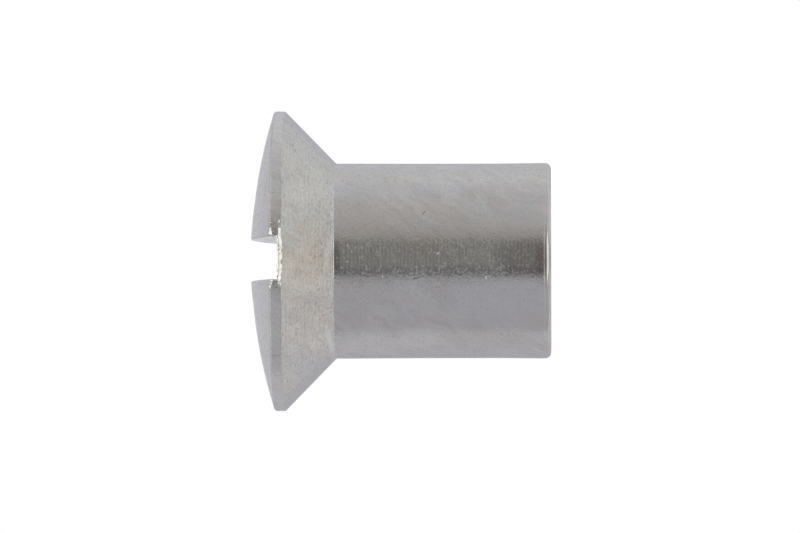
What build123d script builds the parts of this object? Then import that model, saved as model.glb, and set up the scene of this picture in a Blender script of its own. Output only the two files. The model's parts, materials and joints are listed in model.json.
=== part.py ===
from build123d import *
import os
from math import radians, tan

# Sleeve nut: a tubular nut turned from one bar, with a raised countersunk head and a sawn driver slot.
# It drops through a hole from the head's side, and a machine screw from the far side pulls the joint tight.
#
# Frame: Z is the axis of the thread. The nut stands on the open end of its sleeve, with the head on top,
# so the origin is the centre of that end face. The driver slot runs along Y. Sizes are in millimetres.

# Thread, drilled and tapped from the open end
thread_major_diameter = 5.0
thread_pitch = 0.8
drill_point_angle = 118.0
mouth_relief = 0.2  # how far the lead-in opens beyond the thread
mouth_angle = 90.0

# Outside, as turned
overall_length = 10.0  # open end to the top of the crown
sleeve_wall = 0.75  # outside the thread
head_overhang = 1.75  # how far the head stands out from the sleeve
countersink_angle = 91.4  # included angle: a 90 degree head, with a tolerance of 2 degrees over
land_height = 0.35  # straight edge between the countersink and the crown
crown_height = 0.78  # rise of the raised top above the land

# Driver slot, as sawn
slot_width = 1.4
slot_depth_at_land = 0.285  # from the top of the land to the slot's floor
web_thickness = 0.85  # metal left between the slot's floor and the drill's tip

# Edges
land_edge_radius = 0.1  # both edges of the land
root_radius = 0.1  # where the head meets the sleeve
end_edge_radius = 0.2  # outer edge of the open end
slot_edge_radius = 0.05  # broken edge along the mouth of the slot

# Diameters. The hole is tapped, so its wall stands at the thread's core, one pitch under the major diameter
tap_drill_diameter = thread_major_diameter - thread_pitch
mouth_diameter = thread_major_diameter + 2 * mouth_relief
sleeve_diameter = thread_major_diameter + 2 * sleeve_wall
head_diameter = sleeve_diameter + 2 * head_overhang

# Heights above the open end
crown_edge = overall_length - crown_height
countersink_top = crown_edge - land_height
shoulder = countersink_top - head_overhang / tan(radians(countersink_angle / 2))
slot_floor = crown_edge - slot_depth_at_land
drill_point_height = tap_drill_diameter / 2 / tan(radians(drill_point_angle / 2))
bore_depth = slot_floor - web_thickness - drill_point_height


with BuildPart() as sleeve_nut:
    # Turned blank: half of its section, revolved about the thread's axis
    with BuildSketch(Plane.XZ) as section:
        with BuildLine():
            crown = TangentArc((0, overall_length), (head_diameter / 2, crown_edge), tangent=(1, 0))
            land = Line(crown @ 1, (head_diameter / 2, countersink_top))
            countersink = Line(land @ 1, (sleeve_diameter / 2, shoulder))
            sleeve = Line(countersink @ 1, (sleeve_diameter / 2, 0))
            Polyline(sleeve @ 1, (0, 0), (0, overall_length))
        make_face()
        axis_corners, sleeve_corners, land_corners = section.vertices().group_by(Axis.X)
        end_corner, root_corner = sleeve_corners.sort_by(Axis.Y)
        fillet(land_corners, radius=land_edge_radius)
        fillet(root_corner, radius=root_radius)
        fillet(end_corner, radius=end_edge_radius)
    revolve(axis=Axis.Z)

    # Hole for the thread, with its lead-in at the mouth and the drill's point at its blind end
    with Locations(-Plane.XY):
        CounterSinkHole(
            radius=tap_drill_diameter / 2,
            counter_sink_radius=mouth_diameter / 2,
            depth=bore_depth,
            counter_sink_angle=mouth_angle,
        )
    with Locations((0, 0, bore_depth)):
        Cone(
            bottom_radius=tap_drill_diameter / 2,
            top_radius=0,
            height=drill_point_height,
            align=(Align.CENTER, Align.CENTER, Align.MIN),
            mode=Mode.SUBTRACT,
        )

    # Driver slot, sawn right across the head: the saw runs clear of it at both ends
    with BuildSketch(Plane.XY.offset(slot_floor)):
        Rectangle(slot_width, head_diameter + slot_width)
    extrude(amount=overall_length - slot_floor, mode=Mode.SUBTRACT)
    slot_walls = sleeve_nut.faces().filter_by(Plane.YZ)
    slot_mouth = slot_walls.edges().filter_by(GeomType.LINE, reverse=True)
    fillet(slot_mouth, radius=slot_edge_radius)

sleeve_nut.part.label = "sleeve_nut"
os.makedirs("parts", exist_ok=True)
export_step(sleeve_nut.part, "parts/sleeve_nut.step")
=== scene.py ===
import json
from math import atan2, cos, hypot, pi, radians, sin, sqrt, tan

import bmesh
import bpy
from mathutils import Matrix, Vector, noise

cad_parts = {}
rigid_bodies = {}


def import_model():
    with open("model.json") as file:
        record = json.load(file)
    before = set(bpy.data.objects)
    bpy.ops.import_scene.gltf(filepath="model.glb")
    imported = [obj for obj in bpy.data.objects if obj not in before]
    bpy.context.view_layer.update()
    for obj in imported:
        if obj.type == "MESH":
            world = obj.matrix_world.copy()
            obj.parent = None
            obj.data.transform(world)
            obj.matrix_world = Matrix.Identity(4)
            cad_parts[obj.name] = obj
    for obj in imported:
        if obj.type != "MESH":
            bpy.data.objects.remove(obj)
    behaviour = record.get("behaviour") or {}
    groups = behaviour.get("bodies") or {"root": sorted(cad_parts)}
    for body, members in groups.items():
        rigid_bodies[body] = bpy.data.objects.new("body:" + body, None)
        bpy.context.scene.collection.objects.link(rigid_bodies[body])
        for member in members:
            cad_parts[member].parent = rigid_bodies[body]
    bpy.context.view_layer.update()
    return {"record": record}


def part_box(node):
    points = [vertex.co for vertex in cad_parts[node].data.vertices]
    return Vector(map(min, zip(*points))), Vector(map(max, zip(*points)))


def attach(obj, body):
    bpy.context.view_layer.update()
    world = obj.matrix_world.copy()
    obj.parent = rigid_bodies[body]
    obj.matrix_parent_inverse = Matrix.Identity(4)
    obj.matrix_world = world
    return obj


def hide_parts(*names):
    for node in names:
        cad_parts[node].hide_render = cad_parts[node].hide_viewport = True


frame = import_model()

# A sleeve nut, turned from one bar: a sleeve with a blind tapped hole, and a countersunk head with a raised
# crown and a sawn slot. It is shaped at a thousand times its size, one unit to the millimetre, and brought
# down to metres at the end.
MM = 0.001

# Sizes in millimetres. Z is the thread's axis, the nut stands on the open end of its sleeve, and the slot
# runs along Y. The front is towards -Y, where the saw came out of the head.
low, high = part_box("sleeve_nut")
mounts = {mount["name"]: mount for mount in frame["record"]["mounts"]}
HEAD_R = (high.x - low.x) / 2 / MM
TOP = high.z / MM
SLEEVE_R = mounts["sleeve"]["dims"]["r_mm"]
CORE_R = mounts["thread"]["dims"]["r_mm"]
LENGTH = 10.0  # open end to the top of the crown, as it was before the slot was sawn
CROWN_RISE = 0.78
LAND = 0.35  # straight edge between the countersink and the crown
CONE_ANGLE = 91.4  # the countersink, included
SLOT_HALF = 0.7  # half the slot's width
SLOT_FLOOR = 8.935  # height of the slot's floor
THREAD_R = 2.5
PITCH = 0.8
BORE_DEPTH = 6.823
DRILL_POINT = 118  # included angle
MOUTH_R = 2.7
LAND_EDGE = 0.1  # radius of both edges of the land
ROOT_EDGE = 0.05  # radius where the head meets the sleeve
END_EDGE = 0.2  # radius of the open end's outer edge
LIP = 0.05  # radius of the edge along the slot's mouth
AROUND = 400  # points in one ring of the turned blank
TOUCH = 0.0005  # points nearer than this to a cut lie on it

CROWN_EDGE = LENGTH - CROWN_RISE
CONE_TOP = CROWN_EDGE - LAND
HALF_CONE = radians(CONE_ANGLE / 2)
SHOULDER = CONE_TOP - (HEAD_R - SLEEVE_R) / tan(HALF_CONE)
CROWN_R = (HEAD_R ** 2 + CROWN_RISE ** 2) / (2 * CROWN_RISE)
CROWN_CENTRE = LENGTH - CROWN_R


# ---------------------------------------------------------------- hand tools

def only(obj):
    """Selects one object and makes it the one being worked on."""
    for o in bpy.context.view_layer.objects:
        o.select_set(False)
    obj.select_set(True)
    bpy.context.view_layer.objects.active = obj


def edit(obj, mode="FACE"):
    """Opens an object in edit mode, with nothing in it selected."""
    only(obj)
    bpy.ops.object.mode_set(mode="EDIT")
    bpy.ops.mesh.select_mode(type=mode)
    bpy.ops.mesh.select_all(action="DESELECT")


def leave():
    """Goes back to object mode."""
    bpy.ops.object.mode_set(mode="OBJECT")


def pick_faces(obj, test):
    """Selects the faces whose middle passes the test, and no others."""
    bm = bmesh.from_edit_mesh(obj.data)
    for f in bm.faces:
        f.select_set(False)
    for f in bm.faces:
        if test(f.calc_center_median()):
            f.select_set(True)
    bmesh.update_edit_mesh(obj.data)


def pick_edges(obj, test):
    """Selects the edges that pass the test, and no others."""
    bm = bmesh.from_edit_mesh(obj.data)
    for v in bm.verts:
        v.select_set(False)
    for e in bm.edges:
        if test(e):
            e.select_set(True)
    bm.select_flush_mode()
    bmesh.update_edit_mesh(obj.data)


def apply_all(obj):
    """Applies every modifier on an object."""
    only(obj)
    for m in list(obj.modifiers):
        bpy.ops.object.modifier_apply(modifier=m.name)


def turned(name, outline, sides):
    """A solid of revolution: a circle, extruded and resized along an outline of (radius, height)."""
    (r0, z0), rest = outline[0], outline[1:]
    bpy.ops.mesh.primitive_circle_add(vertices=sides, radius=r0, fill_type="NGON", location=(0, 0, z0))
    obj = bpy.context.object
    obj.name = obj.data.name = name
    bpy.ops.object.transform_apply(location=True, rotation=True, scale=True)
    edit(obj, "EDGE")
    pick_edges(obj, lambda e: e.is_boundary)
    r, z = r0, z0
    for r1, z1 in rest:
        bpy.ops.mesh.extrude_edges_move(TRANSFORM_OT_translate={"value": (0, 0, z1 - z)})
        bpy.ops.transform.resize(value=(r1 / r, r1 / r, 1), center_override=(0, 0, z1))
        r, z = r1, z1
    bpy.ops.mesh.edge_face_add()
    bpy.ops.mesh.select_all(action="SELECT")
    bpy.ops.mesh.normals_make_consistent(inside=False)
    leave()
    return obj


def cut_away(obj, tool):
    """Takes one solid out of another."""
    m = obj.modifiers.new("cut", "BOOLEAN")
    m.operation = "DIFFERENCE"
    m.solver = "EXACT"
    m.object = tool
    apply_all(obj)
    bpy.data.objects.remove(tool)


def arc(cx, cz, r, a0, a1, steps):
    """Points on an arc, with angles in degrees from +r towards +z."""
    angles = [radians(a0 + (a1 - a0) * i / steps) for i in range(steps + 1)]
    return [(cx + r * cos(a), cz + r * sin(a)) for a in angles]


def line(p, q, steps):
    """Points after p and before q, evenly spaced."""
    return [(p[0] + (q[0] - p[0]) * i / steps, p[1] + (q[1] - p[1]) * i / steps) for i in range(1, steps)]


def smooth(a, b, x):
    """A smooth step from 0 at a to 1 at b. It runs downwards where b is the lower of the two."""
    t = max(0.0, min(1.0, (x - a) / (b - a)))
    return t * t * (3 - 2 * t)


# ---------------------------------------------------------------- the turned blank

def flare(z):
    """How far the sleeve's radius is from straight: a hair over at both ends, and under at its waist."""
    under_head = 0.006 * smooth(5.2, 7.0, z) * (1 - smooth(7.0, 7.25, z))
    open_end = 0.014 * smooth(1.8, 0.2, z)
    waist = 0.004 * smooth(6, 4, z)
    return under_head + open_end - waist


def blank_outline():
    """The blank's section, as (radius, height), from the open end's face to the middle of the crown."""
    half = tan(HALF_CONE / 2)
    end_arc = arc(SLEEVE_R - END_EDGE, END_EDGE, END_EDGE, -90, 0, 9)
    root_r, root_z = SLEEVE_R + ROOT_EDGE, SHOULDER - ROOT_EDGE * half
    root_arc = arc(root_r, root_z, ROOT_EDGE, 180, 180 - CONE_ANGLE / 2, 5)
    edge_r = HEAD_R - LAND_EDGE
    low_arc = arc(edge_r, CONE_TOP + LAND_EDGE * half, LAND_EDGE, -CONE_ANGLE / 2, 0, 9)
    top_z = CROWN_CENTRE + sqrt((CROWN_R - LAND_EDGE) ** 2 - edge_r ** 2)
    crown_tilt = pi / 2 - atan2(edge_r, top_z - CROWN_CENTRE)
    top_arc = arc(edge_r, top_z, LAND_EDGE, 0, crown_tilt * 180 / pi, 10)

    # The sleeve, with a hair-fine groove just above the end's rounding
    above_groove = (SLEEVE_R, 0.29)
    groove = [(SLEEVE_R - 0.001, 0.222), (SLEEVE_R - 0.006, 0.230), (SLEEVE_R, 0.242), (SLEEVE_R, 0.25)]
    points = end_arc + groove + [above_groove] + line(above_groove, root_arc[0], 24)

    # Close rings on both sides of the root keep its shading narrow
    (foot_r, foot_z), (past_r, past_z) = root_arc[0], root_arc[-1]
    past_root = (past_r + 0.006, past_z + 0.006 / tan(HALF_CONE))
    points += [(foot_r, foot_z - 0.03), (foot_r, foot_z - 0.006)] + root_arc + [past_root]
    points = [(r + flare(z), z) for r, z in points]

    # The countersink and the land, with rings where the saw's burrs start and at the slot's floor
    burr_foot = (low_arc[0][0] - 0.055, low_arc[0][1] - 0.055 / tan(HALF_CONE))
    points += line(past_root, burr_foot, 14) + [burr_foot] + line(burr_foot, low_arc[0], 5) + low_arc
    floor_ring = (HEAD_R, SLOT_FLOOR)
    points += line(low_arc[-1], floor_ring, 4) + [floor_ring]
    points += line(floor_ring, top_arc[0], 14) + top_arc

    # The crown
    ring_step, smallest_ring = 0.1, 0.25
    r = top_arc[-1][0] - ring_step / 2
    while r > smallest_ring:
        points.append((r, CROWN_CENTRE + sqrt(CROWN_R ** 2 - r ** 2)))
        r -= ring_step
    return points


# ---------------------------------------------------------------- hole and thread

def drill_hole(nut):
    """The hole for the thread, with its lead-in at the mouth and the drill's point at its blind end."""
    below = 0.4
    tip_r = 0.02
    tip = (tip_r, BORE_DEPTH + (CORE_R - tip_r) / tan(radians(DRILL_POINT / 2)))
    outline = [(MOUTH_R + below, -below), (CORE_R, MOUTH_R - CORE_R), (CORE_R, BORE_DEPTH), tip]
    cut_away(nut, turned("drill", outline, 120))


def tap_thread(nut):
    """The tap is one ridge of the thread's form, wound up the bore, that thins out over its last turn."""
    inner, turns, per_turn = 1.95, 9, 120
    bottom = -1.1 * PITCH
    flank_angle = 30
    crest_half = 0.05
    foot_half = crest_half + (THREAD_R - inner) * tan(radians(flank_angle))
    bpy.ops.mesh.primitive_plane_add(size=1)
    tap = bpy.context.object
    tap.name = tap.data.name = "tap"
    corners = [(inner, -foot_half), (THREAD_R, -crest_half), (THREAD_R, crest_half), (inner, foot_half)]
    for i, (r, z) in zip((0, 1, 3, 2), corners):
        tap.data.vertices[i].co = (r, 0, bottom + z)
    m = tap.modifiers.new("wind", "SCREW")
    m.axis = "Z"
    m.steps = m.render_steps = per_turn
    m.angle = 2 * pi
    m.screw_offset = PITCH
    m.iterations = turns
    m.use_normal_calculate = True
    apply_all(tap)
    last_turn = bottom + (turns - 1.2) * PITCH
    fade, left_over = 1.1 * PITCH, 0.2
    for v in tap.data.vertices:
        r = hypot(v.co.x, v.co.y)
        gone = max(0.0, min(1.0, (v.co.z - last_turn) / fade))
        if r > inner + 0.01 and gone > 0:
            k = (inner + (r - inner) * (1 - (1 - left_over) * gone)) / r
            v.co.x *= k
            v.co.y *= k
    edit(tap, "EDGE")
    pick_edges(tap, lambda e: e.is_boundary)
    bpy.ops.mesh.fill_holes(sides=4)
    bpy.ops.mesh.select_all(action="SELECT")
    bpy.ops.mesh.normals_make_consistent(inside=False)
    leave()
    cut_away(nut, tap)


# ---------------------------------------------------------------- driver slot

# Where the saw came out at the front of the head it pushed up burrs: a torn ridge under the slot, and lumps
# beside it. Lumps, in millimetres: (across the slot, height, half width across, half length along the axis).
LUMPS = [
    (0.86, 9.156, 0.125, 0.064), (0.97, 9.190, 0.080, 0.036), (1.16, 9.185, 0.030, 0.026),
    (2.16, 9.105, 0.030, 0.028), (1.16, 8.900, 0.034, 0.032), (1.23, 8.880, 0.034, 0.026),
    (1.00, 8.885, 0.060, 0.026), (0.72, 8.945, 0.026, 0.060), (0.25, 8.788, 0.030, 0.017),
    (0.18, 8.755, 0.026, 0.014), (0.05, 8.755, 0.026, 0.014), (-0.13, 8.800, 0.070, 0.020),
    (-0.76, 8.877, 0.145, 0.056), (-1.12, 8.852, 0.030, 0.022), (-0.76, 9.145, 0.052, 0.054),
    (-0.84, 9.170, 0.090, 0.044), (-0.97, 9.188, 0.110, 0.032),
]
LUMP_SLOPE = 0.38
FRONT_SUNK = 0.036  # how far the front of the land is sunk round the burrs
CORNER = 0.11  # radius of the slot's corners with the front of the land
FLOOR_LIP = -4.86  # where the slot's floor starts to rise at the front
RIDGE_TOP = SLOT_FLOOR - 0.046
RIDGE_SLOPE = 0.42
STRIP_SLOPE = 0.34
STRIP_BACK = 0.027  # how far the rolled-up strip stands behind the ridge's crest


def on_cone(z):
    """The radius of the countersink at a height."""
    return HEAD_R - (CONE_TOP - z) * tan(HALF_CONE)


def lump(x, z, shape):
    """The radius out to the face of a lump, which stands out most at its upper end, or 0 away from it."""
    x0, z0, wide, long = shape
    u, v = (x - x0) / wide, (z - z0) / long
    if u ** 4 + v ** 4 > 1:
        return 0.0
    skin = HEAD_R if z > CONE_TOP - 0.03 else on_cone(z) + 0.02
    return min(HEAD_R, skin) - LUMP_SLOPE * long * ((1 - u ** 4) ** 0.25 - v) - 0.010 * u * u


def ridge(x, z):
    """The radius out to the torn ridge under the slot, or to the strip rolled up above it, or 0 off both."""
    torn = noise.noise(Vector((x * 9, 0.3, 4.1)))
    wander = noise.noise(Vector((x * 3.1, 8.2, 1.4)))
    beyond = smooth(0.42, 0.76, x) + smooth(-0.40, -0.66, x)
    top = RIDGE_TOP + 0.034 * beyond + 0.003 * wander
    foot = top - 0.090 - 0.018 * torn
    crest = on_cone(foot) + RIDGE_SLOPE * (top - foot)
    if foot < z <= top:
        return min(HEAD_R, crest - RIDGE_SLOPE * (top - z))
    if top < z < SLOT_FLOOR + 0.06 and beyond < 0.9:
        return min(HEAD_R, crest - STRIP_BACK + STRIP_SLOPE * (z - top) * (1 - 0.10 * torn))
    return 0.0


def saw_marks(p):
    """The new radius of a point at the front of the head, where the land is sunk a little under its burrs."""
    r = hypot(p.x, p.y)
    sunk = FRONT_SUNK * smooth(2.75, 2.3, abs(p.x - 0.2))
    if p.z < SLOT_FLOOR + 0.1:
        base = min(r, HEAD_R - sunk)
    else:
        base = r - sunk * (1 - smooth(CROWN_EDGE + 0.05, CROWN_EDGE + 0.4, p.z))
    t = abs(p.x) - SLOT_HALF
    if -0.001 < t < CORNER and p.z > SLOT_FLOOR:
        t = max(t, 0.012)
        rolled = CORNER - sqrt(CORNER ** 2 - (CORNER - t) ** 2)
        on_land = smooth(SLOT_FLOOR, SLOT_FLOOR + 0.03, p.z) * (1 - smooth(CROWN_EDGE - 0.1, CROWN_EDGE, p.z))
        base -= 0.6 * rolled * on_land
    share = smooth(-0.98, -0.84, p.x) * (1 - smooth(1.02, 1.10, p.x))
    rolled_up = ridge(p.x, p.z)
    if rolled_up > 0:
        base += share * (rolled_up - base)
    return max([base] + [lump(p.x, p.z, shape) for shape in LUMPS])


def burr_lip(p):
    """How far the crown is raised beside the slot's mouth, less what is rounded off at its very edge."""
    t = abs(p.x) - SLOT_HALF
    ragged = 0.7 + 0.7 * noise.noise(Vector((p.y * 2.5, p.x * 3, 1.7)))
    lift = 0.006 * ragged * (1 - smooth(0.05, 0.12, t))
    if p.x > 0:
        lift += 0.022 * (1 - smooth(0.1, 1.3, t))
        round_off = LIP
    else:
        lift += 0.020 * (1 - smooth(0.1, 0.9, t))
        round_off = 0.4 * LIP
    if -0.001 < t < round_off:
        t = max(t, 0.0)
        lift -= round_off - sqrt(round_off ** 2 - (round_off - t) ** 2)
    return lift


def score_head(nut):
    """Divides the head's skin finely where the burrs go, and along the slot's walls."""
    edit(nut)
    pick_faces(nut, lambda c: c.y < -3.9 and -1.4 < c.x < 2.4 and 8.74 < c.z < 9.3 and hypot(c.x, c.y) > 4.6)
    bpy.ops.mesh.subdivide(number_cuts=2)
    for side in (-1, 1):
        for step in (0.0, 0.007, 0.022, LIP, 0.085, 0.13):
            x = side * (SLOT_HALF + step)
            pick_faces(nut, lambda c: abs(c.x - x) < 0.2 and c.z > CONE_TOP - 0.15)
            bpy.ops.mesh.bisect(plane_co=(x, 0, 0), plane_no=(1, 0, 0), threshold=TOUCH)
    for z in [RIDGE_TOP - 0.002, RIDGE_TOP + 0.002] + [SLOT_FLOOR - 0.008 - 0.011 * i for i in range(15)]:
        pick_faces(nut, lambda c: c.y < -4.6 and abs(c.x) < 1.25 and abs(c.z - z) < 0.08)
        bpy.ops.mesh.bisect(plane_co=(0, 0, z), plane_no=(0, 0, 1), threshold=TOUCH)
    leave()


def raise_burrs(nut):
    """Moves the head's skin to where the saw left it, but never outside the head's own radius and top."""
    bm = bmesh.new()
    bm.from_mesh(nut.data)
    for v in bm.verts:
        x, y, z = v.co
        if z < CONE_TOP - 0.3:
            continue
        if y < -3.8 and abs(x) < 3.2 and z < CROWN_EDGE + 0.45:
            r = min(HEAD_R, saw_marks(v.co))
            v.co.y = -sqrt(r * r - x * x)
        if z > CROWN_EDGE - 0.03:
            share = smooth(CROWN_EDGE - 0.03, CROWN_EDGE + 0.06, z)
            v.co.z = min(TOP, z + burr_lip(v.co) * share)
        elif y > 0 and abs(x) < SLOT_HALF + LIP and z > SLOT_FLOOR + 0.001:
            v.co.y = y + min(0.0, burr_lip(v.co)) * smooth(SLOT_FLOOR, SLOT_FLOOR + 0.09, z)
    bm.to_mesh(nut.data)
    bm.free()


def open_slot(nut):
    """Takes the skin away over the slot, and closes its two walls and its floor with one flat face each."""
    edit(nut)
    pick_faces(nut, lambda c: abs(c.x) < SLOT_HALF and c.z > SLOT_FLOOR + TOUCH)
    bpy.ops.mesh.delete(type="FACE")
    bpy.ops.mesh.select_mode(type="EDGE")
    for wall in (-SLOT_HALF, SLOT_HALF):
        pick_edges(nut, lambda e: e.is_boundary and all(abs(v.co.x - wall) < 0.0006 for v in e.verts))
        bpy.ops.mesh.edge_face_add()
    pick_edges(nut, lambda e: e.is_boundary)
    bpy.ops.mesh.edge_face_add()
    leave()


def raise_floor_lip(nut):
    """Cuts a strip off the front of the slot's floor and lifts its front edge on to the rolled-up strip."""
    edit(nut)
    pick_faces(nut, lambda c: abs(c.x) < 0.1 and abs(c.z - SLOT_FLOOR) < TOUCH and abs(c.y) < 4.5)
    bpy.ops.mesh.bisect(plane_co=(0, FLOOR_LIP, 0), plane_no=(0, 1, 0), threshold=TOUCH)
    leave()
    for v in nut.data.vertices:
        x, y, z = v.co
        if y < FLOOR_LIP - 0.02 and abs(x) < SLOT_HALF - 0.004 and abs(z - SLOT_FLOOR) < 0.0008:
            ragged = 1 + 0.5 * noise.noise(Vector((x * 6, 2.7, 0.4)))
            v.co.z += 0.030 * ragged * smooth(SLOT_HALF, SLOT_HALF - 0.08, abs(x))
            r = min(HEAD_R, max(HEAD_R - FRONT_SUNK, ridge(x, v.co.z)))
            v.co.y = -sqrt(r * r - x ** 2)


# ---------------------------------------------------------------- the whole nut

def bring_to_size(nut):
    """Closes the mesh, brings it down to metres and shades it smooth between its edges."""
    edit(nut)
    bpy.ops.mesh.select_all(action="SELECT")
    bpy.ops.mesh.remove_doubles(threshold=0.0004)
    bpy.ops.mesh.normals_make_consistent(inside=False)
    bpy.ops.transform.resize(value=(MM, MM, MM), center_override=(0, 0, 0))
    leave()
    only(nut)
    bpy.ops.object.shade_smooth_by_angle(angle=radians(40))
    m = nut.modifiers.new("shading", "WEIGHTED_NORMAL")
    m.keep_sharp = True
    apply_all(nut)


def make_nut():
    """The whole nut, in the order of the bench: turned, drilled, tapped and sawn."""
    nut = turned("sleeve_nut_turned", blank_outline(), AROUND)
    drill_hole(nut)
    tap_thread(nut)
    score_head(nut)
    raise_burrs(nut)
    open_slot(nut)
    raise_floor_lip(nut)
    bring_to_size(nut)
    return nut


nut = make_nut()
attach(nut, "root")
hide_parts("sleeve_nut")


# ---------------------------------------------------------------- node tools

class Nodes:
    """Short names for making and joining nodes in one tree."""

    def __init__(self, tree):
        self.tree = tree

    def new(self, kind, **settings):
        n = self.tree.nodes.new(kind)
        for name, value in settings.items():
            setattr(n, name, value)
        return n

    def put(self, socket, value):
        """Joins a socket to another node's output, or gives it a value."""
        if isinstance(value, bpy.types.NodeSocket):
            self.tree.links.new(value, socket)
        elif isinstance(value, tuple) and len(value) == 3 and socket.type == "RGBA":
            socket.default_value = (*value, 1)
        else:
            socket.default_value = value

    def math(self, operation, *values):
        n = self.new("ShaderNodeMath", operation=operation)
        for socket, value in zip(n.inputs, values):
            self.put(socket, value)
        return n.outputs[0]

    def vector(self, operation, *values):
        n = self.new("ShaderNodeVectorMath", operation=operation)
        for socket, value in zip(n.inputs, values):
            self.put(socket, value)
        return n.outputs["Vector"]

    def scaled(self, vector, factor):
        n = self.new("ShaderNodeVectorMath", operation="SCALE")
        self.put(n.inputs[0], vector)
        self.put(n.inputs["Scale"], factor)
        return n.outputs["Vector"]

    def join(self, x, y, z):
        n = self.new("ShaderNodeCombineXYZ")
        for socket, value in zip(n.inputs, (x, y, z)):
            self.put(socket, value)
        return n.outputs[0]

    def split(self, vector):
        n = self.new("ShaderNodeSeparateXYZ")
        self.put(n.inputs[0], vector)
        return n.outputs

    def lit(self, colour, level):
        """A colour, or three numbers, all multiplied by one level."""
        return self.vector("MULTIPLY", colour, self.join(level, level, level))

    def ease(self, value, a, b, low=0.0, high=1.0):
        """A smooth step in value, from low at a to high at b."""
        n = self.new("ShaderNodeMapRange", interpolation_type="SMOOTHSTEP")
        names = ("Value", "From Min", "From Max", "To Min", "To Max")
        for name, x in zip(names, (value, a, b, low, high)):
            self.put(n.inputs[name], x)
        return n.outputs["Result"]

    def window(self, value, a, b, soft):
        """1 from a to b, fading to 0 over soft on both sides."""
        return self.math("MULTIPLY", self.ease(value, a - soft, a), self.ease(value, b, b + soft, 1.0, 0.0))

    def noise(self, vector, scale, detail=2.0, roughness=0.5):
        n = self.new("ShaderNodeTexNoise")
        names = ("Vector", "Scale", "Detail", "Roughness")
        for name, x in zip(names, (vector, scale, detail, roughness)):
            self.put(n.inputs[name], x)
        return n.outputs["Fac"]

    def blend(self, share, below, above):
        """One colour laid over another: share is 0 for the one below and 1 for the one above."""
        n = self.new("ShaderNodeMix", data_type="RGBA")
        for i, x in ((0, share), (6, below), (7, above)):
            self.put(n.inputs[i], x)
        return n.outputs[2]

    def group(self, tree, **values):
        n = self.new("ShaderNodeGroup")
        n.node_tree = tree
        for name, value in values.items():
            self.put(n.inputs[name], value)
        return n.outputs


def node_group(name, inputs, outputs):
    """An empty shader group with named sockets: (name, kind, value) going in and (name, kind) coming out."""
    tree = bpy.data.node_groups.new(name, "ShaderNodeTree")
    for label, kind, value in inputs:
        socket = tree.interface.new_socket(label, in_out="INPUT", socket_type="NodeSocket" + kind)
        socket.default_value = value
    for label, kind in outputs:
        tree.interface.new_socket(label, in_out="OUTPUT", socket_type="NodeSocket" + kind)
    n = Nodes(tree)
    return tree, n, n.new("NodeGroupInput").outputs, n.new("NodeGroupOutput").inputs


# ---------------------------------------------------------------- the nickel's finish

def build_lathe_marks():
    """What the turning tool leaves round the axis.

    Height is in millimetres, Tone is over 0 where a streak is light and under 0 where it is dark, and Dull
    goes from 0 where the metal is bright to 1 where it is dull.
    """
    tree, n, given, out = node_group(
        "lathe_marks",
        [
            ("Point", "Vector", (0, 0, 0)), ("Crown", "Float", 9.2), ("Feed", "Float", 0.1),
            ("Groove", "Float", 0.001), ("Torn", "Float", 0.01),
        ],
        [("Height", "Float"), ("Tone", "Float"), ("Dull", "Float")],
    )
    x, y, z = n.split(given["Point"])

    # The tool goes up the side, and inwards over the crown and the end face
    radius = n.math("SQRT", n.math("ADD", n.math("MULTIPLY", x, x), n.math("MULTIPLY", y, y)))
    facing = n.math("ADD", n.math("GREATER_THAN", z, given["Crown"]), n.math("LESS_THAN", z, 0.02))
    along = n.math("ADD", z, n.math("MULTIPLY", radius, facing))

    def streaks(round_it, along_it, detail=1.0):
        """Noise drawn out round the axis, by how fine it is across X and Y and along the tool's way."""
        across_x, across_y = n.math("MULTIPLY", x, round_it), n.math("MULTIPLY", y, round_it)
        return n.noise(n.join(across_x, across_y, n.math("MULTIPLY", along, along_it)), 1.0, detail)

    wander = n.math("MULTIPLY", streaks(0.7, 3.0, 2.0), 0.05)
    turns = n.math("DIVIDE", n.math("ADD", along, wander), given["Feed"])
    groove = n.math("SINE", n.math("MULTIPLY", turns, 2 * pi))
    fine = streaks(12.0, 14.0)
    torn = n.math("ADD", n.math("MULTIPLY", streaks(2.2, 7.0, 2.0), 0.9), fine)
    grooves = n.math("MULTIPLY", groove, given["Groove"])
    n.put(out["Height"], n.math("ADD", grooves, n.math("MULTIPLY", torn, given["Torn"])))

    long_streaks = n.math("MULTIPLY", n.math("SUBTRACT", streaks(3.0, 24.0), 0.5), 0.8)
    mottled = n.math("ADD", n.math("SUBTRACT", fine, 0.5), long_streaks)
    n.put(out["Tone"], n.math("ADD", mottled, n.math("MULTIPLY", groove, 0.05)))
    sand = n.noise(n.vector("ADD", given["Point"], (3.7, 5.2, 0.9)), 11.0, 1.0)
    n.put(out["Dull"], n.ease(sand, 0.50, 0.68))
    return tree


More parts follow.
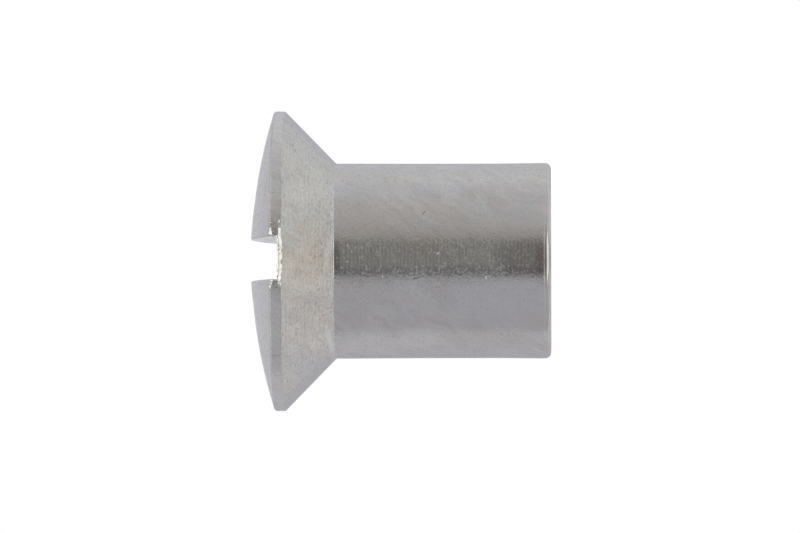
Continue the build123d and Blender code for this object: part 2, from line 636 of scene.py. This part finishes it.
def build_plating():
    """Nickel's colour, with the faint clouds, strokes and warm or cool patches that plating dries with."""
    tree, n, given, out = node_group(
        "plating",
        [
            ("Point", "Vector", (0, 0, 0)), ("Colour", "Color", (0.5, 0.5, 0.5, 1)),
            ("Unevenness", "Float", 1.0),
        ],
        [("Colour", "Color"), ("Cloud", "Float")],
    )

    def swing(pattern, strength):
        """How far a pattern, 0 to 1, takes the level to either side."""
        strength = n.math("MULTIPLY", given["Unevenness"], strength)
        return n.math("MULTIPLY", n.math("SUBTRACT", pattern, 0.5), strength)

    cloud = n.noise(given["Point"], 0.9, 3.0, 0.55)
    grain = n.noise(n.vector("ADD", given["Point"], (1.3, 9.1, 2.5)), 12.0)

    # Strokes run aslant up the nut, bent here and there
    bend = n.new("ShaderNodeTexNoise")
    n.put(bend.inputs["Vector"], given["Point"])
    n.put(bend.inputs["Scale"], 0.45)
    x, y, z = n.split(n.vector("ADD", given["Point"], n.scaled(bend.outputs["Color"], 1.6)))
    along = n.math("ADD", z, n.math("MULTIPLY", x, 0.7))
    aside = n.math("SUBTRACT", x, n.math("MULTIPLY", z, 0.7))
    drawn_out = (n.math("MULTIPLY", along, 0.6), n.math("MULTIPLY", aside, 3.6), n.math("MULTIPLY", y, 1.6))
    strokes = n.noise(n.join(*drawn_out), 1.0, 3.0, 0.6)

    level = n.math("ADD", 1.0, swing(cloud, 0.20))
    level = n.math("ADD", level, swing(grain, 0.06))
    level = n.math("ADD", level, swing(strokes, 0.34))

    warm = n.noise(n.vector("ADD", given["Point"], (7.3, 2.1, 5.5)), 1.3, 4.0, 0.6)
    patch_tint = n.blend(n.ease(warm, 0.38, 0.62), (0.985, 1.001, 1.013), (1.014, 0.996, 0.983))
    stroke_tint = n.blend(n.ease(strokes, 0.40, 0.60), (1.005, 0.997, 0.993), (0.995, 1.003, 1.003))
    tint = n.vector("MULTIPLY", patch_tint, stroke_tint)
    n.put(out["Colour"], n.vector("MULTIPLY", n.lit(given["Colour"], level), tint))
    n.put(out["Cloud"], cloud)
    return tree


def build_pits():
    """Small pits and specks scattered over a surface: 1 in a pit, 0 elsewhere."""
    tree, n, given, out = node_group(
        "pits",
        [
            ("Point", "Vector", (0, 0, 0)), ("Spacing", "Float", 0.4), ("Size", "Float", 0.03),
            ("Share", "Float", 0.5),
        ],
        [("Pit", "Float")],
    )
    cells = n.new("ShaderNodeTexVoronoi", feature="F1", voronoi_dimensions="3D")
    n.put(cells.inputs["Vector"], given["Point"])
    n.put(cells.inputs["Scale"], n.math("DIVIDE", 1.0, given["Spacing"]))
    n.put(cells.inputs["Randomness"], 1.0)
    away = n.math("MULTIPLY", cells.outputs["Distance"], given["Spacing"])
    inner, outer = n.math("MULTIPLY", given["Size"], 0.5), n.math("MULTIPLY", given["Size"], 1.3)
    dot = n.ease(away, inner, outer, 1.0, 0.0)
    lot = n.split(cells.outputs["Color"])[0]
    n.put(out["Pit"], n.math("MULTIPLY", dot, n.math("LESS_THAN", lot, given["Share"])))
    return tree


def build_mark():
    """One mark on the front of the nut: 1 inside an ellipse, fading to 0 outside it. Turn is in radians."""
    tree, n, given, out = node_group(
        "mark",
        [
            ("Point", "Vector", (0, 0, 0)), ("Across", "Float", 0.0), ("Height", "Float", 0.0),
            ("Long", "Float", 0.1), ("Wide", "Float", 0.03), ("Turn", "Float", 0.0),
        ],
        [("Mark", "Float")],
    )
    x, y, z = n.split(given["Point"])
    dx = n.math("SUBTRACT", x, given["Across"])
    dz = n.math("SUBTRACT", z, given["Height"])
    c, s = n.math("COSINE", given["Turn"]), n.math("SINE", given["Turn"])
    along = n.math("ADD", n.math("MULTIPLY", dz, c), n.math("MULTIPLY", dx, s))
    aside = n.math("SUBTRACT", n.math("MULTIPLY", dx, c), n.math("MULTIPLY", dz, s))
    u, v = n.math("DIVIDE", along, given["Long"]), n.math("DIVIDE", aside, given["Wide"])
    away = n.math("SQRT", n.math("ADD", n.math("MULTIPLY", u, u), n.math("MULTIPLY", v, v)))
    n.put(out["Mark"], n.math("MULTIPLY", n.ease(away, 0.6, 1.3, 1.0, 0.0), n.math("LESS_THAN", y, 0.0)))
    return tree


lathe_marks = build_lathe_marks()
plating = build_plating()
pits = build_pits()
mark = build_mark()

NICKEL = (0.52, 0.49, 0.455)

# Marks on the front of the nut, in millimetres and degrees: (across the slot, height, half its length along
# the axis, half its width across, turn). First the wide faint patches: on the countersink painted light and
# shade, a lighter patch and darker warm and cool ones, and on the sleeve pale, blue and brown ones.
# Painted light and painted shade on the countersink: lighter patches, and darker warm and cool ones
PAINTED_LIGHT_PATCHES = [(-0.42, 8.60, 0.20, 0.50, 0), (-0.88, 7.90, 0.90, 0.26, 0), (2.15, 8.15, 0.60, 0.42, 0)]
WARM_PAINTED_SHADE = [(0.95, 7.85, 0.60, 0.50, 0), (0.10, 7.60, 0.35, 0.40, 0)]
COOL_PAINTED_SHADE = [(-3.35, 8.15, 0.60, 0.45, 0)]
PALE_CLOUDS = [(-2.58, 4.35, 0.75, 0.36, 0), (-2.78, 5.95, 0.95, 0.30, 0)]
BLUE_CLOUDS = [(1.15, 1.30, 1.30, 0.55, 0), (-1.30, 1.70, 1.50, 0.85, 0)]
BROWN_CLOUDS = [
    (1.25, 6.20, 1.00, 0.50, 0), (-1.05, 6.25, 1.00, 0.75, 0), (-2.72, 1.90, 1.30, 0.36, 0),
    (2.60, 5.60, 0.90, 0.35, 0),
]
# Then what is laid over the plating: painted highlights round the root, painted shade at both ends of the
# sleeve and over its lower part, brown stains, dark specks and nicks, and bright glints painted as
# highlights.
# Painted highlights: thin pale bands round the root, where its rounded corner catches the light
ROOT_HIGHLIGHTS = [
    (1.35, 7.20, 0.045, 0.95, 0), (0.15, 7.36, 0.10, 0.55, 8), (-0.95, 7.26, 0.07, 0.45, -6),
    (-2.75, 7.30, 0.10, 0.55, -10),
]
# Painted shade: the middle of the sleeve's front, where it reflects the dark gap, darkened over its lower
# part and at both its ends
PAINTED_SHADE_LOW = [(0.04, 0.72, 1.15, 0.62, 0)]
PAINTED_SHADE_ENDS = [(0.02, 7.06, 0.13, 0.52, 0), (-0.02, 0.34, 0.20, 0.50, 0)]
STAINS = [
    (-2.32, 1.94, 0.13, 0.035, -8), (2.03, 9.33, 0.055, 0.22, 6), (3.62, 8.28, 0.05, 0.05, 0),
    (1.98, 8.40, 0.03, 0.06, 0),
]
SPECKS = [
    (-2.85, 8.27, 0.020, 0.022, 0), (-3.78, 8.42, 0.022, 0.020, 0), (-2.42, 7.11, 0.020, 0.024, 0),
    (3.76, 8.52, 0.030, 0.030, 0), (-3.19, 9.04, 0.150, 0.011, 0), (-3.05, 7.45, 0.022, 0.020, 0),
    (-2.30, 8.36, 0.020, 0.020, 0), (0.10, 7.90, 0.022, 0.022, 0), (0.09, 7.76, 0.020, 0.020, 0),
    (0.08, 7.60, 0.022, 0.022, 0), (0.11, 8.25, 0.020, 0.022, 0),
]
NICKS = [(1.52, 4.20, 0.075, 0.016, -50), (-0.63, 4.43, 0.13, 0.012, -16), (-0.66, 4.52, 0.05, 0.012, -50)]
# Painted highlights: small bright dots where the metal catches the light
GLINTS = [
    (0.17, 3.73, 0.050, 0.034, 0), (-0.62, 2.15, 0.022, 0.055, 15), (-0.57, 5.55, 0.018, 0.050, 0),
    (0.44, 6.70, 0.030, 0.030, 0), (0.23, 6.56, 0.050, 0.014, -20), (-0.10, 6.71, 0.026, 0.020, 30),
    (-0.24, 1.40, 0.022, 0.022, 0),
]

# Each kind's marks, their colour, and how far it covers what is under it
UNDER_THE_GRAIN = [
    (PAINTED_LIGHT_PATCHES, (0.585, 0.543, 0.50), 0.6), (WARM_PAINTED_SHADE, (0.49, 0.445, 0.395), 0.6),
    (COOL_PAINTED_SHADE, (0.46, 0.455, 0.45), 0.6), (PALE_CLOUDS, (0.57, 0.54, 0.51), 0.6),
    (BLUE_CLOUDS, (0.528, 0.505, 0.485), 0.6), (BROWN_CLOUDS, (0.505, 0.472, 0.43), 0.6),
]
# Over the grain, the root's bands, the sleeve's dark patches and the glints are painted light and shade
OVER_THE_GRAIN = [
    (ROOT_HIGHLIGHTS, (0.60, 0.605, 0.60), 0.6), (PAINTED_SHADE_LOW, (0.27, 0.225, 0.215), 0.42),
    (PAINTED_SHADE_ENDS, (0.22, 0.15, 0.13), 0.45), (STAINS, (0.60, 0.47, 0.34), 0.55),
    (SPECKS, (0.20, 0.16, 0.14), 0.6), (NICKS, (0.10, 0.09, 0.12), 0.85), (GLINTS, (1.0, 1.0, 0.97), 1.0),
]


def turned_nickel():
    """Nickel plating over turned brass, with the lathe's grain, marks of handling, painted highlights and
    shade.
    """
    m = bpy.data.materials.new("nickel_turned")
    m.use_nodes = True
    n = Nodes(m.node_tree)
    shader = m.node_tree.nodes["Principled BSDF"]
    point = n.scaled(n.new("ShaderNodeTexCoord").outputs["Object"], 1 / MM)
    height = n.split(point)[2]

    def with_marks(colour, kinds):
        """Lays every mark of these kinds over a colour."""
        for places, tint, strength in kinds:
            for across, up, long, wide, turn in places:
                size = {"Long": long, "Wide": wide, "Turn": radians(turn)}
                spot = n.group(mark, Point=point, Across=across, Height=up, **size)["Mark"]
                colour = n.blend(n.math("MULTIPLY", spot, strength), colour, tint)
        return colour

    # The grain is coarser on the countersink, the land is a little lighter, and the end's rounding is
    # smoother
    past_root = n.ease(height, SHOULDER - 0.02, SHOULDER)
    cone = n.math("MULTIPLY", past_root, n.ease(height, CONE_TOP, CONE_TOP + 0.02, 1.0, 0.0))
    past_cone = n.ease(height, CONE_TOP, CONE_TOP + 0.03)
    land = n.math("MULTIPLY", past_cone, n.ease(height, CROWN_EDGE - 0.05, CROWN_EDGE, 1.0, 0.0))
    worn = n.ease(height, 0.17, 0.26, 0.25, 1.0)
    torn = n.math("MULTIPLY", worn, 0.0048)
    marks = n.group(lathe_marks, Point=point, Crown=CROWN_EDGE + 0.02, Feed=0.12, Groove=0.00035, Torn=torn)
    plate = n.group(plating, Point=point, Colour=NICKEL, Unevenness=1.0)
    grain = n.math("MULTIPLY", marks["Tone"], n.math("ADD", 0.09, n.math("MULTIPLY", cone, 0.27)))
    level = n.math("ADD", n.math("ADD", 1.0, n.math("MULTIPLY", land, 0.085)), grain)
    colour = n.lit(with_marks(plate["Colour"], UNDER_THE_GRAIN), level)

    # Pits lie all over, and specks crowd on one patch of the countersink, flattened along the axis
    holes = n.group(pits, Point=point, Spacing=0.45, Size=0.024, Share=0.30)["Pit"]
    colour = n.blend(n.math("MULTIPLY", holes, 0.35), colour, (0.20, 0.17, 0.14))
    crowd = n.group(mark, Point=point, Across=0.30, Height=7.70, Long=0.62, Wide=0.62)["Mark"]
    share = n.math("MULTIPLY", cone, n.math("ADD", n.math("MULTIPLY", crowd, 0.6), 0.05))
    flat = n.vector("MULTIPLY", point, (0.6, 0.6, 1.0))
    specks = n.group(pits, Point=flat, Spacing=0.15, Size=0.034, Share=share)["Pit"]
    colour = n.blend(n.math("MULTIPLY", specks, 0.42), colour, (0.17, 0.17, 0.14))
    n.put(shader.inputs["Base Color"], with_marks(colour, OVER_THE_GRAIN))

    polish = n.math("ADD", 0.13, n.math("MULTIPLY", plate["Cloud"], 0.06))
    dull = n.math("MULTIPLY", n.math("MULTIPLY", marks["Dull"], worn), 0.29)
    n.put(shader.inputs["Roughness"], n.math("ADD", polish, dull))
    bump = n.new("ShaderNodeBump")
    n.put(bump.inputs["Distance"], MM)
    n.put(bump.inputs["Height"], marks["Height"])
    n.put(shader.inputs["Normal"], bump.outputs["Normal"])
    n.put(shader.inputs["Metallic"], 1.0)
    return m


# ---------------------------------------------------------------- floor, camera, world

def floor_material():
    """Matte and pale, with a glow that only the camera sees, so that it looks white and keeps its shadow."""
    m = bpy.data.materials.new("pale_floor")
    m.use_nodes = True
    m.node_tree.nodes.clear()
    n = Nodes(m.node_tree)
    matte = n.new("ShaderNodeBsdfDiffuse")
    n.put(matte.inputs["Color"], (0.8, 0.8, 0.8))
    seen = n.new("ShaderNodeLightPath").outputs["Is Camera Ray"]
    glow = n.new("ShaderNodeEmission")
    n.put(glow.inputs["Strength"], n.math("MULTIPLY", seen, 0.55))
    both = n.new("ShaderNodeAddShader")
    n.put(both.inputs[0], matte.outputs[0])
    n.put(both.inputs[1], glow.outputs[0])
    n.put(n.new("ShaderNodeOutputMaterial").inputs["Surface"], both.outputs[0])
    return m


def make_floor():
    bpy.ops.mesh.primitive_circle_add(vertices=96, radius=0.6, fill_type="NGON", location=(0, 0, 0))
    floor = bpy.context.object
    floor.name = "floor"
    floor.data.materials.append(floor_material())
    floor.visible_glossy = False


def make_camera():
    """A long lens in front of the nut, rolled a quarter turn, so that the head is at the left of its view."""
    data = bpy.data.cameras.new("camera")
    data.sensor_width = 36
    data.lens = 292.5
    data.clip_start, data.clip_end = 0.01, 10
    camera = bpy.data.objects.new("camera", data)
    bpy.context.scene.collection.objects.link(camera)
    yaw, twist, roll = radians(1.28), radians(1.3), radians(0.12)
    distance = 0.217
    target = Vector((-0.181, 0, 5.05)) * MM
    back = Vector((-sin(twist) * cos(yaw), -cos(twist) * cos(yaw), -sin(yaw)))
    up = Vector((cos(twist), -sin(twist), 0))
    right = up.cross(back)
    right, up = right * cos(roll) - up * sin(roll), right * sin(roll) + up * cos(roll)
    place = target + back * distance
    camera.matrix_world = Matrix((
        (right.x, up.x, back.x, place.x),
        (right.y, up.y, back.y, place.y),
        (right.z, up.z, back.z, place.z),
        (0, 0, 0, 1),
    ))
    bpy.context.scene.camera = camera


# The light tent's walls: (azimuth in degrees, 0 behind the camera and positive towards +X, red, green, blue).
WALLS = [
    (-180, 0.63, 0.64, 0.67), (-172, 0.52, 0.53, 0.59), (-155, 0.57, 0.58, 0.65), (-140, 0.67, 0.69, 0.77),
    (-108, 0.73, 0.75, 0.83), (-95, 0.70, 0.72, 0.79), (-90, 0.59, 0.61, 0.69), (-45, 0.60, 0.62, 0.70),
    (-30, 0.59, 0.61, 0.68), (-18, 0.52, 0.54, 0.59), (25, 0.50, 0.49, 0.49), (33, 0.56, 0.54, 0.55),
    (38, 0.60, 0.59, 0.60), (44, 0.63, 0.65, 0.68), (63, 0.70, 0.72, 0.77), (85, 0.76, 0.79, 0.87),
    (97, 0.81, 0.84, 0.93), (109, 0.88, 0.92, 0.99), (122, 0.86, 0.90, 0.97), (140, 0.78, 0.82, 0.89),
    (150, 0.72, 0.75, 0.83), (160, 0.64, 0.66, 0.73), (172, 0.53, 0.54, 0.59), (180, 0.63, 0.64, 0.67),
]


def tent_walls(n, azimuth):
    """The colour of the walls all the way round."""
    walls = n.new("ShaderNodeValToRGB")
    n.put(walls.inputs["Fac"], n.math("ADD", n.math("DIVIDE", azimuth, 360.0), 0.5))
    ramp = walls.color_ramp
    while len(ramp.elements) > 1:
        ramp.elements.remove(ramp.elements[-1])
    for i, (angle, *tint) in enumerate(WALLS):
        stop = ramp.elements[0] if i == 0 else ramp.elements.new(angle / 360 + 0.5)
        stop.position = angle / 360 + 0.5
        stop.color = (*tint, 1)
    return walls.outputs["Color"]


def make_world():
    """A light tent, by azimuth and elevation in degrees. The camera itself sees plain white."""
    world = bpy.data.worlds.new("studio")
    bpy.context.scene.world = world
    world.use_nodes = True
    world.node_tree.nodes.clear()
    n = Nodes(world.node_tree)
    x, y, z = n.split(n.vector("NORMALIZE", n.new("ShaderNodeTexCoord").outputs["Generated"]))
    azimuth = n.math("MULTIPLY", n.math("ARCTAN2", x, n.math("MULTIPLY", y, -1.0)), 180 / pi)
    elevation = n.math("MULTIPLY", n.math("ARCSINE", z), 180 / pi)
    either_side = n.math("ABSOLUTE", azimuth)
    front = n.ease(either_side, 95, 125, 1.0, 0.0)

    # Above the walls, the tent's roof, which starts higher in front, with a soft glow at the far right
    sky = n.blend(front, (0.72, 0.74, 0.82), (0.88, 0.89, 0.93))
    glow = n.math("MULTIPLY", n.ease(azimuth, 160, 176), n.window(elevation, 8, 14, 7))
    sky = n.blend(glow, sky, (0.84, 0.85, 0.91))
    above = n.ease(n.math("SUBTRACT", elevation, n.math("MULTIPLY", front, 22)), 2, 32)
    light = n.blend(above, tent_walls(n, azimuth), sky)
    light = n.blend(n.ease(elevation, 55, 90), light, (0.82, 0.84, 0.88))

    # A bright strip at the far side, the table below the walls, lower in front, and what is straight down
    far = n.math("MULTIPLY", n.ease(either_side, 174, 178), n.window(elevation, -4, 5, 4))
    light = n.blend(far, light, (1.28, 1.30, 1.34))
    under = n.blend(n.ease(azimuth, -60, 120), (0.85, 0.86, 0.89), (0.88, 0.925, 0.955))
    below = n.ease(n.math("ADD", elevation, n.math("MULTIPLY", front, 36)), -46, -8, 1.0, 0.0)
    light = n.blend(below, light, under)
    straight_down = n.blend(n.ease(azimuth, -120, 60), (0.96, 0.94, 0.90), (0.88, 0.86, 0.82))
    light = n.blend(n.ease(elevation, -90, -72, 1.0, 0.0), light, straight_down)

    # The dark gap in the tent where the camera looks in, darkest at its upper left
    dark = n.blend(n.ease(azimuth, -14, -4), (0.22, 0.23, 0.25), (0.34, 0.35, 0.355))
    dark = n.lit(dark, n.ease(elevation, -14, 16, 1.35, 0.65))
    gap = n.math("MULTIPLY", n.ease(azimuth, -21.0, -17.0), n.ease(azimuth, 24.2, 25.0, 1.0, 0.0))
    light = n.blend(n.math("MULTIPLY", gap, n.window(elevation, -14, 30, 6)), light, dark)

    # The lit patch of the table in front, with one wider band across it
    spread = n.math("ADD", 1.0, n.math("MULTIPLY", n.window(elevation, -48, -40, 3), 0.45))
    table_width = n.window(n.math("DIVIDE", azimuth, spread), -19, 26, 5)
    table = n.math("MULTIPLY", table_width, n.window(elevation, -66, -32, 6))
    light = n.blend(table, light, (1.85, 1.92, 1.92))

    seen = n.new("ShaderNodeLightPath").outputs["Is Camera Ray"]
    back = n.new("ShaderNodeBackground")
    n.put(back.inputs["Color"], n.blend(seen, light, (1.0, 1.0, 1.0)))
    n.put(n.new("ShaderNodeOutputWorld").inputs["Surface"], back.outputs[0])


nut.data.materials.clear()
nut.data.materials.append(turned_nickel())
make_floor()
make_camera()
make_world()
bpy.context.scene.view_settings.view_transform = "Standard"
